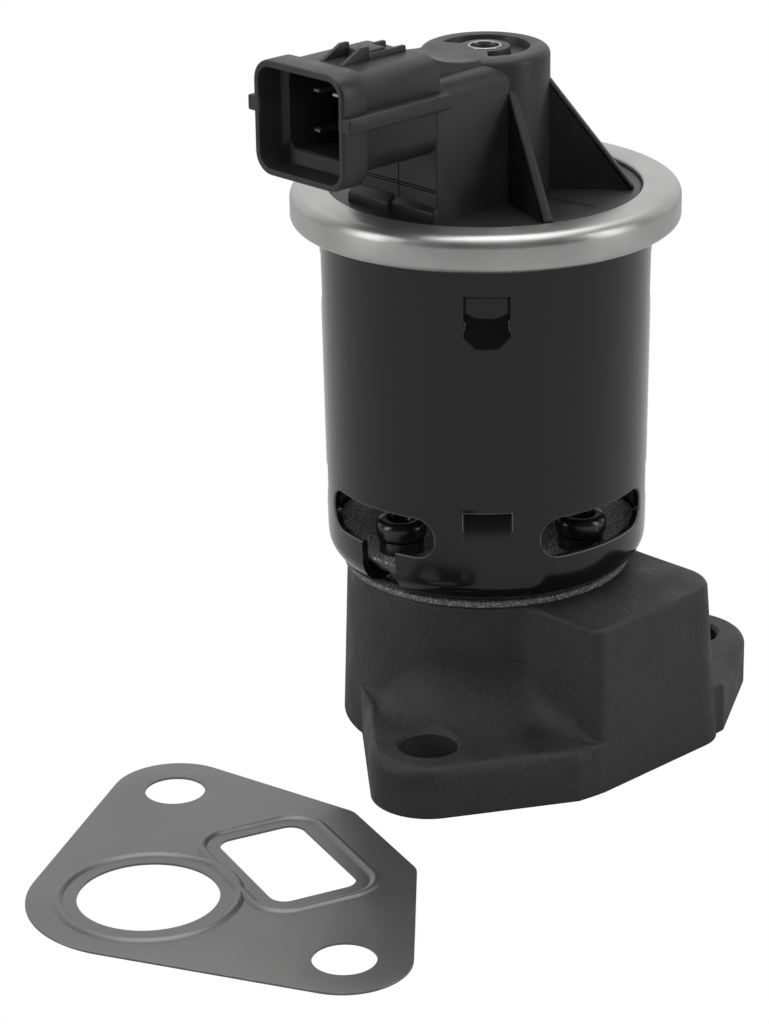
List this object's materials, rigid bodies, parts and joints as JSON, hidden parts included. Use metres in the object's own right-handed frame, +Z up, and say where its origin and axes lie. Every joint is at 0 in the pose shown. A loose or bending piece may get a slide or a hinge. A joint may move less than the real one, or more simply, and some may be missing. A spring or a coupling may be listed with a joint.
{
  "type": "exhaust gas recirculation valve",
  "caption": "Solenoid-driven exhaust gas recirculation valve with a cast flange base, a drawn steel can, a sensor cap with plug socket, and its flange gasket.",
  "frame": {"origin": "valve axis where it meets the mounting face of the cast base", "axes": "+Z up the valve axis away from the mounting face, +X from one flange stud hole to the other, -Y from the round port to the rectangular port; the plug socket opens towards -X"},
  "size_m": [0.1432, 0.0883, 0.1172],
  "materials": {
    "cast_base": "matte sand cast",
    "black_can": "gloss black coat",
    "ring_steel": "satin",
    "gasket_steel": "rolled sheet",
    "valve_steel": "ground",
    "pole_steel": "turned",
    "screw_steel": "black oxide",
    "gasket_sheet": "pressed fibre",
    "seal_graphite": "graphite",
    "cap_plastic": "satin moulded",
    "bobbin_plastic": "moulded",
    "winding_copper": "enamelled wire",
    "blade_metal": "tinned",
    "guide_bronze": "sintered",
    "board_laminate": "laminate",
    "ring_rubber": "smooth"
  },
  "bodies": {
    "housing": {"valve_base": "cast_base", "valve_seat": "valve_steel", "guide_carrier": "pole_steel", "stem_guide": "guide_bronze", "deposit_shield": "valve_steel", "stem_seal": "seal_graphite", "base_gasket": "gasket_sheet", "heat_insulator": "gasket_sheet", "housing_can": "black_can", "can_screws": "screw_steel", "lower_plate": "pole_steel", "guide_sleeve": "guide_bronze", "upper_pole": "pole_steel", "return_spring": "valve_steel", "bobbin": "bobbin_plastic", "coil_winding": "winding_copper", "coil_blades": "blade_metal", "crimp_ring": "ring_steel", "sensor_cap": "cap_plastic", "cap_eyelet": "blade_metal", "connector_blades": "blade_metal", "plunger_bush": "guide_bronze", "sensor_spring": "valve_steel", "track_board": "board_laminate", "seal_ring": "ring_rubber", "flange_gasket": "gasket_steel"},
    "valve": {"valve_poppet": "valve_steel", "armature": "pole_steel", "stem_nut": "valve_steel"},
    "plunger": {"sensor_plunger": "valve_steel", "sensor_wiper": "blade_metal"}
  },
  "joints": [
    {"name": "valve_lift", "type": "slide", "parent": "housing", "child": "valve", "axis": [0, 0, 1], "range_m": [0, 0.0042], "stiffness_N_per_m": 900, "springref_m": -0.012, "deforming": ["return_spring"]},
    {"name": "sensor_slide", "type": "slide", "parent": "housing", "child": "plunger", "axis": [0, 0, 1], "range_m": [0, 0.0042], "stiffness_N_per_m": 60, "springref_m": -0.006, "deforming": ["sensor_spring"]}
  ],
  "couplings": [
    {"joint": "sensor_slide", "follows": "valve_lift", "ratio": 1}
  ]
}
